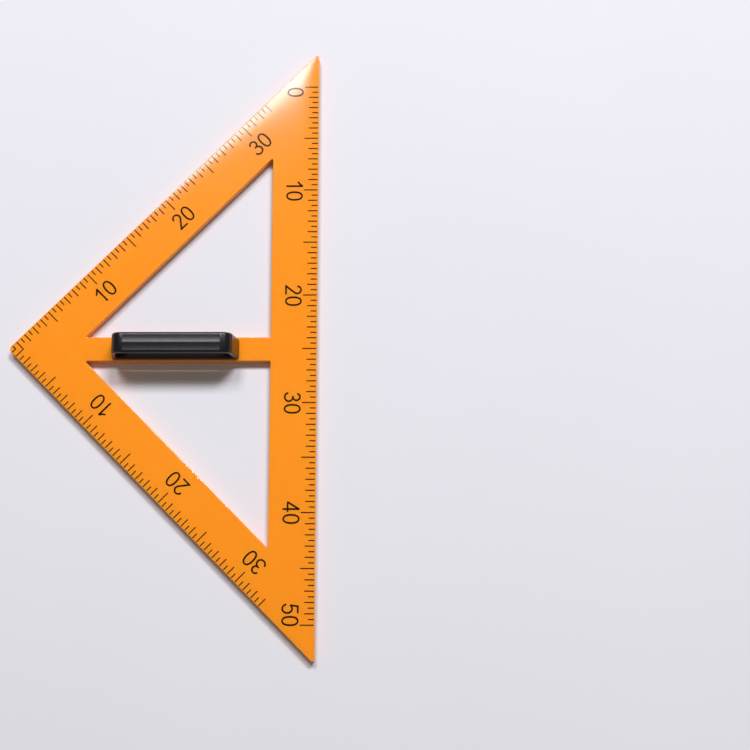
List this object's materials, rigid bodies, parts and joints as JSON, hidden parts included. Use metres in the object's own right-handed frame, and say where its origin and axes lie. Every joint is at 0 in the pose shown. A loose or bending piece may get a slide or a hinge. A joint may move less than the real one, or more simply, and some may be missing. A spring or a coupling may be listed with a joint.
{
  "type": "set square",
  "caption": "Large orange isosceles right-triangle set square for a classroom board, with centimetre scales on all edges, two windows and a black bridge handle.",
  "frame": {"origin": "middle of the outer box, on the plate's flat back face", "axes": "+X from the right-angle corner to the hypotenuse edge, +Y along the hypotenuse edge, +Z out of the plate's printed face, through the handle"},
  "size_m": [0.2826, 0.5628, 0.044],
  "materials": {
    "plate_plastic": "glossy moulded orange",
    "handle_plastic": "satin moulded black",
    "screw_steel": "bright zinc plating",
    "scale_ink": "printed dark brown ink"
  },
  "bodies": {
    "root": {"plate": "plate_plastic", "handle": "handle_plastic", "corner_side_screw": "screw_steel", "hypotenuse_side_screw": "screw_steel"}
  },
  "joints": []
}
